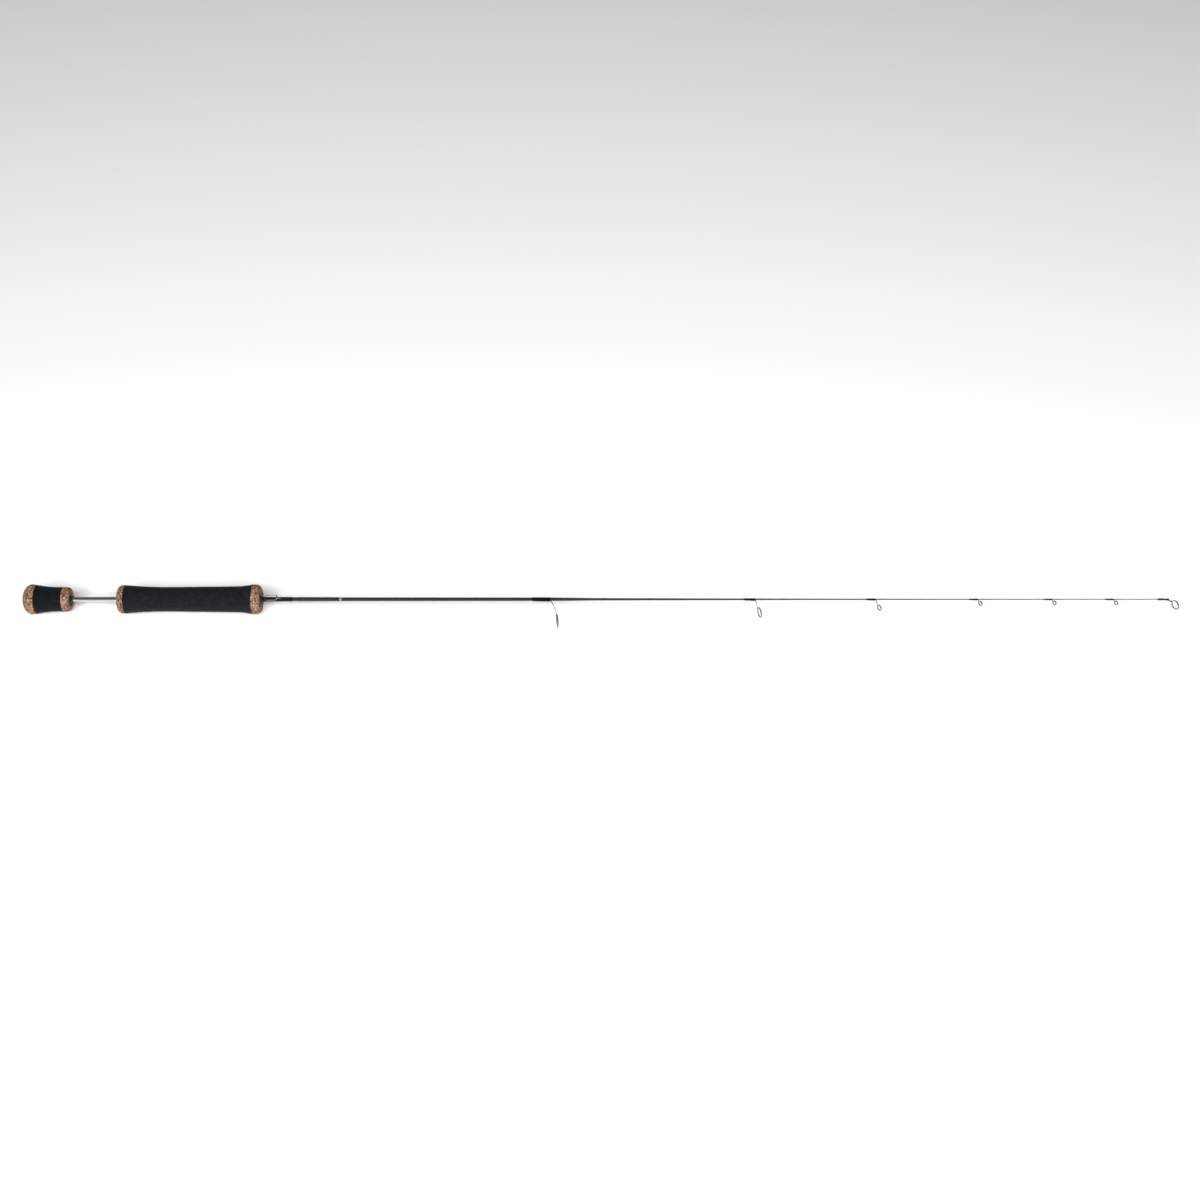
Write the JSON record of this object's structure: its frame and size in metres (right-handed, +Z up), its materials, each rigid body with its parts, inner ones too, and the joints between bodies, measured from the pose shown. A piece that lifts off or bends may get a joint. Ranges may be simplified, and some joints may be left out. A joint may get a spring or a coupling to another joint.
{
  "type": "ice fishing rod",
  "caption": "Short ice fishing rod with a split foam and cork handle, a tapered carbon blank, single-foot ring guides, a tip-top and a fold-down hook keeper.",
  "frame": {"origin": "centre of the small flat on the butt cap's end, on the axis of the blank", "axes": "+X runs along the blank from the butt to the tip, +Z is up as the rod lies on its side, and the guides stand out along -Y"},
  "size_m": [0.9143, 0.0415, 0.024],
  "materials": {
    "burl_cork": "matte, sanded",
    "eva_foam": "matte, fine grain",
    "check_rubber": "satin",
    "spine_steel": "polished",
    "sleeve_aluminium": "satin",
    "arbor_plastic": "matte",
    "dark_fibre": "matte",
    "carbon_blank": "satin",
    "black_thread": "gloss, under clear finish",
    "dark_coat": "gloss",
    "trim_thread": "gloss",
    "guide_steel": "polished",
    "hard_liner": "polished"
  },
  "bodies": {
    "rod": {"butt_cap": "burl_cork", "knob_body": "eva_foam", "knob_front_ring": "burl_cork", "knob_winding_check": "check_rubber", "handle_spine": "spine_steel", "grip_rear_ring": "burl_cork", "grip_body": "eva_foam", "rear_arbor": "arbor_plastic", "spine_sleeve": "sleeve_aluminium", "front_arbor": "arbor_plastic", "grip_fibre_ring": "dark_fibre", "grip_front_ring": "burl_cork", "grip_winding_check": "check_rubber", "rod_blank": "carbon_blank", "keeper_zone_wrap": "black_thread", "butt_wrap": "black_thread", "label_coat": "dark_coat", "trim_band": "trim_thread", "keeper_base": "guide_steel", "guide_1_frame": "guide_steel", "guide_2_frame": "guide_steel", "guide_3_frame": "guide_steel", "guide_4_frame": "guide_steel", "guide_5_frame": "guide_steel", "guide_6_frame": "guide_steel", "guide_1_liner": "hard_liner", "guide_2_liner": "hard_liner", "guide_3_liner": "hard_liner", "guide_4_liner": "hard_liner", "guide_5_liner": "hard_liner", "guide_6_liner": "hard_liner", "guide_1_wrap": "black_thread", "guide_2_wrap": "black_thread", "guide_3_wrap": "black_thread", "guide_4_wrap": "black_thread", "guide_5_wrap": "black_thread", "guide_6_wrap": "black_thread", "tip_top_tube": "guide_steel", "tip_top_frame": "guide_steel", "tip_top_liner": "hard_liner", "tip_wrap": "black_thread"},
    "keeper_bail": {"keeper_bail": "guide_steel"}
  },
  "joints": [
    {"name": "keeper_fold", "type": "hinge", "parent": "rod", "child": "keeper_bail", "pos_m": [0.2005, -0.00076, 0.00285], "axis": [0, 0.9659, 0.2588], "range_deg": [0, 165]}
  ]
}
